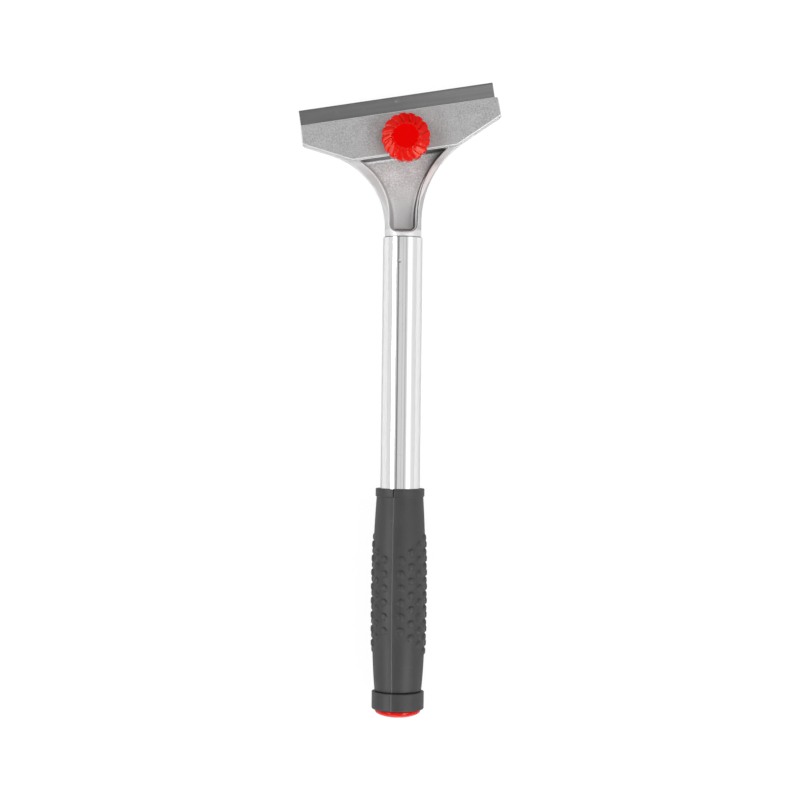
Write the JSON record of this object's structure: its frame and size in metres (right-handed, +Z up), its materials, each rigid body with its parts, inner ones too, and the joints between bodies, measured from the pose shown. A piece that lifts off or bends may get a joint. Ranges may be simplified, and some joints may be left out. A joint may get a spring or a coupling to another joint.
{
  "type": "glass scraper",
  "caption": "Long-handled glass scraper: a skewed cast head clamps a wide blade under a knob, on a bright metal tube with a bumpy cushioned grip and a domed end cap.",
  "frame": {"origin": "middle of the underside's bounding box, with the scraper lying on its back on a table", "axes": "+Y along the handle towards the blade, +Z up out of the side with the knob, +X to the right seen from above with the blade away from the viewer"},
  "size_m": [0.1036, 0.3236, 0.0286],
  "materials": {
    "cast_metal": "bright satin casting, sand-textured in the recess",
    "plate_metal": "fine sand texture",
    "blade_steel": "dark ground steel",
    "screw_steel": "plain zinc-plated steel",
    "chrome": "bright chrome plating",
    "red_plastic": "glossy red",
    "grip_rubber": "satin dark grey, moulded with bumps"
  },
  "bodies": {
    "handle": {"head_casting": "cast_metal", "handle_tube": "chrome", "grip": "grip_rubber", "end_cap": "red_plastic"},
    "clamp": {"clamp_plate": "plate_metal", "knob_washer": "screw_steel"},
    "knob": {"clamp_knob": "red_plastic", "clamp_screw": "screw_steel"},
    "blade": {"blade": "blade_steel"}
  },
  "joints": [
    {"name": "clamp_lift", "type": "slide", "parent": "handle", "child": "clamp", "axis": [-0.0055, 0.0345, 0.9994], "range_m": [0, 0.003]},
    {"name": "knob_turn", "type": "hinge", "parent": "clamp", "child": "knob", "pos_m": [0.00316, 0.13145, 0.00849], "axis": [-0.0055, 0.0345, 0.9994], "range_deg": [0, 1080]},
    {"name": "blade_slide", "type": "slide", "parent": "handle", "child": "blade", "axis": [-0.1563, 0.9871, -0.0349], "range_m": [0, 0.01]}
  ],
  "couplings": [
    {"joint": "knob_turn", "follows": "clamp_lift", "rad_per_m": 6283.2}
  ]
}
